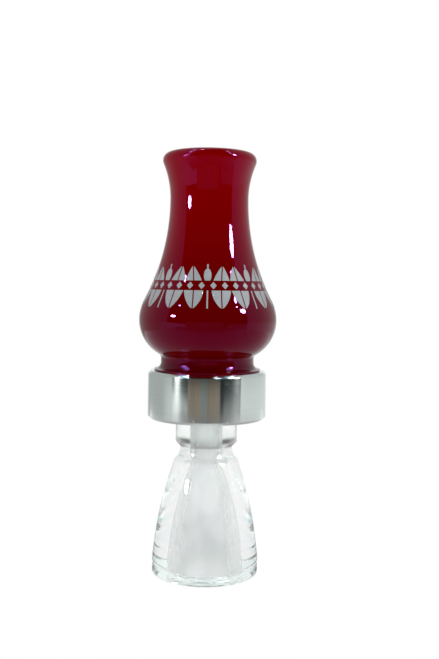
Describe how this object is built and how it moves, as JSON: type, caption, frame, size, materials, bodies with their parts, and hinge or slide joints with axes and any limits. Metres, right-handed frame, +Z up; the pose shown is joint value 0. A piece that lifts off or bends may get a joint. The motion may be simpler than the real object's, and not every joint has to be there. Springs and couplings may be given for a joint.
{
  "type": "duck call",
  "caption": "Duck call: turned barrel with flared mouthpiece, bulb and lanyard groove, metal band, and a clear pull-out insert with tone board, reeds, wedge and O-rings.",
  "frame": {"origin": "centre of the round foot of the insert's bell, on the surface the call stands on", "axes": "+Z up along the call's axis, from the bell to the mouthpiece; the reeds face -Y"},
  "size_m": [0.037, 0.037, 0.1126],
  "materials": {
    "barrel_acrylic": "polished deep red cast acrylic",
    "band_metal": "fine turned, bright",
    "clear_acrylic": "polished clear cast acrylic, bore left as drilled",
    "ring_rubber": "black nitrile",
    "reed_film": "frosted polyester film",
    "wedge_cork": "natural cork"
  },
  "bodies": {
    "insert": {"insert": "clear_acrylic", "reed_wedge": "wedge_cork"},
    "o_rings": {"lower_o_ring": "ring_rubber", "upper_o_ring": "ring_rubber"},
    "barrel": {"barrel": "barrel_acrylic", "band": "band_metal"},
    "lower_reed": {"lower_reed": "reed_film"},
    "upper_reed": {"upper_reed": "reed_film"}
  },
  "joints": [
    {"name": "barrel_turn", "type": "hinge", "parent": "insert", "child": "o_rings", "pos_m": [0, 0, 0.0465], "axis": [0, 0, 1], "continuous": true},
    {"name": "barrel_pull", "type": "slide", "parent": "o_rings", "child": "barrel", "axis": [0, 0, 1], "range_m": [0, 0.06]},
    {"name": "lower_reed_flex", "type": "hinge", "parent": "insert", "child": "lower_reed", "pos_m": [0, -0.00133, 0.0565], "axis": [1, 0, 0], "range_deg": [-1.1, 1.5], "stiffness_Nm_per_rad": 0.006},
    {"name": "upper_reed_flex", "type": "hinge", "parent": "insert", "child": "upper_reed", "pos_m": [0, -0.00178, 0.0565], "axis": [1, 0, 0], "range_deg": [-1.1, 1.5], "stiffness_Nm_per_rad": 0.006}
  ],
  "couplings": [
    {"joint": "upper_reed_flex", "follows": "lower_reed_flex", "ratio": 1}
  ]
}
